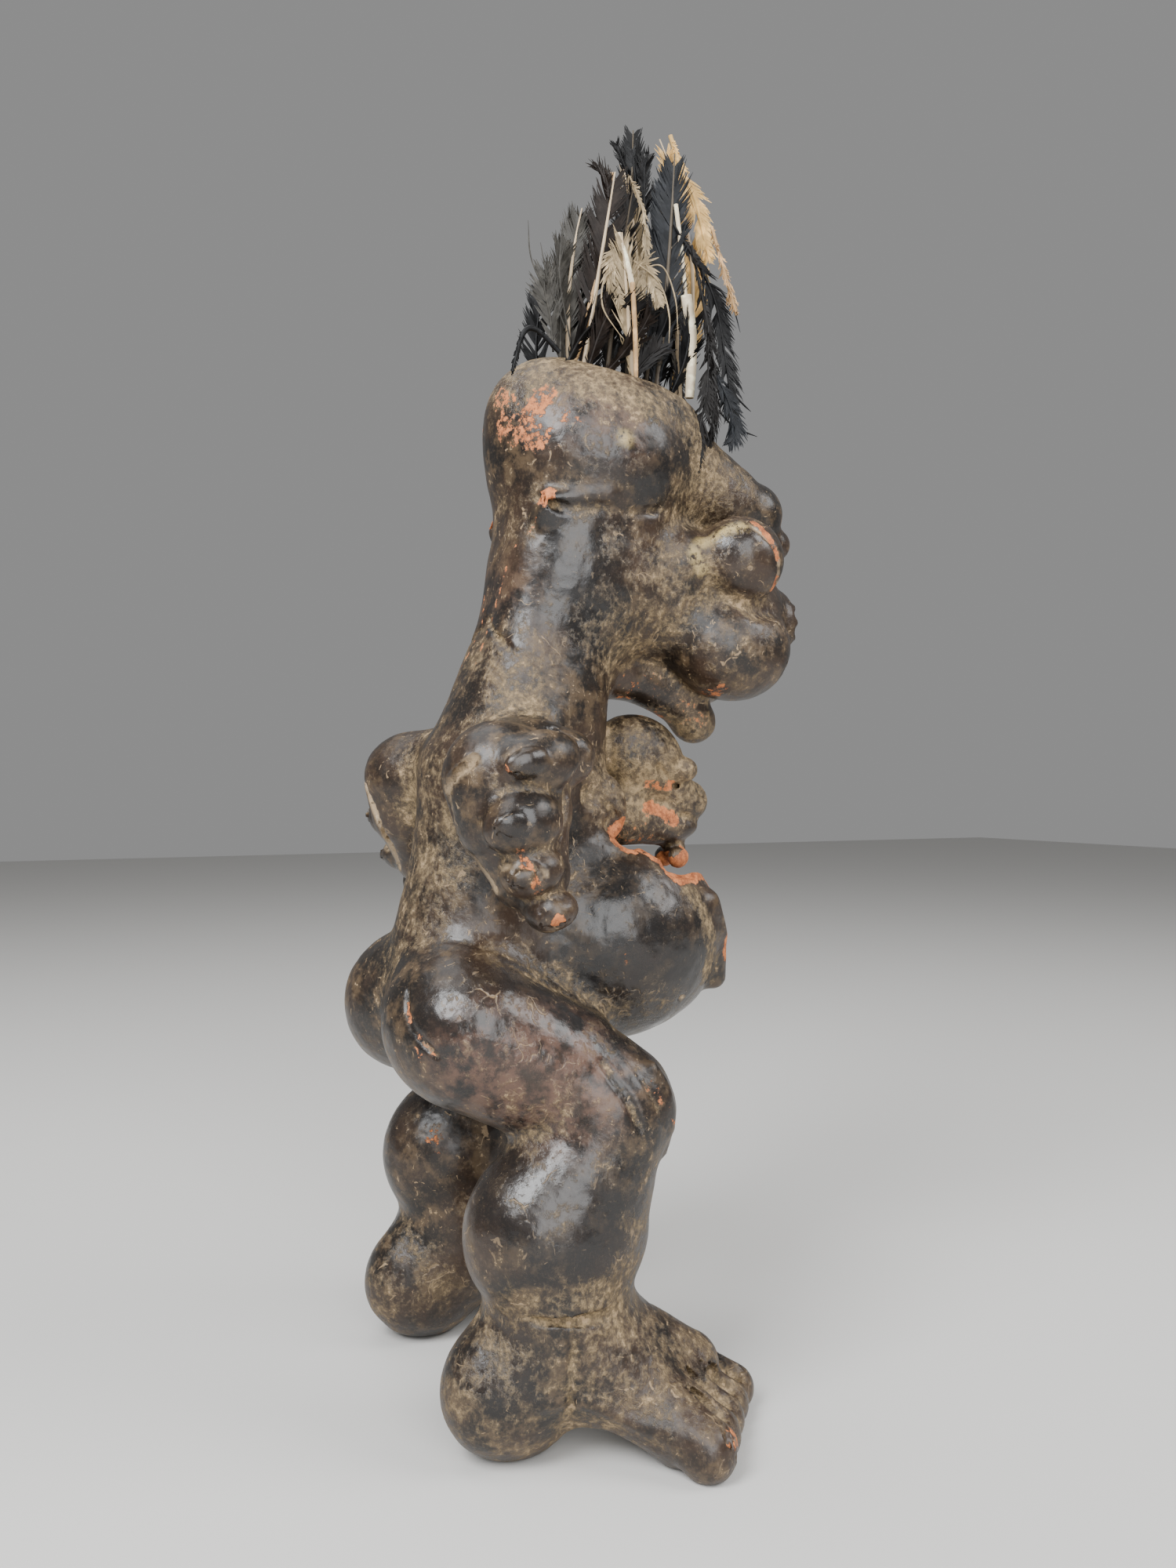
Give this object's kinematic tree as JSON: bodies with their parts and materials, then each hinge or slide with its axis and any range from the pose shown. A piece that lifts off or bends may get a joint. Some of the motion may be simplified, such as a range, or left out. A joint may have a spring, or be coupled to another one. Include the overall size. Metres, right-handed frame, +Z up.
{
  "type": "fetish figure",
  "caption": "Standing fired-clay fetish figure, half squatting, with a broken hollow belly, a second head at its chest and a tuft of worn feathers in its crown.",
  "frame": {"origin": "centre of the whole figure's box, on the floor under its soles", "axes": "+Z up, the figure looks along -Y, and its left hand is on the +X side"},
  "size_m": [0.1768, 0.1612, 0.4301],
  "materials": {
    "clay": "burnished dark brown fired clay with tan dirt and orange chips",
    "feather_brown": "worn feather vane on a pale quill",
    "feather_dark": "worn feather vane on a pale quill",
    "feather_grey": "worn feather vane on a pale quill",
    "feather_cream": "worn feather vane on a pale quill",
    "feather_black": "worn feather vane on a pale quill",
    "feather_slate": "worn feather vane on a pale quill",
    "feather_white": "worn feather vane on a pale quill",
    "feather_yellow": "worn feather vane on a pale quill"
  },
  "bodies": {
    "root": {"figure": "clay", "feather-brown-near": "feather_brown", "feather-short-near": "feather_cream", "feather-dark-near": "feather_dark", "feather-grey-back": "feather_grey", "feather-cream": "feather_cream", "feather-grey-far": "feather_grey", "feather-black-tall": "feather_black", "feather-black-far": "feather_black", "feather-slate": "feather_slate", "feather-dark-front": "feather_dark", "feather-white-quill": "feather_white", "feather-yellow-torn": "feather_yellow", "feather-brown-front": "feather_brown", "feather-small-far": "feather_dark"}
  },
  "joints": []
}
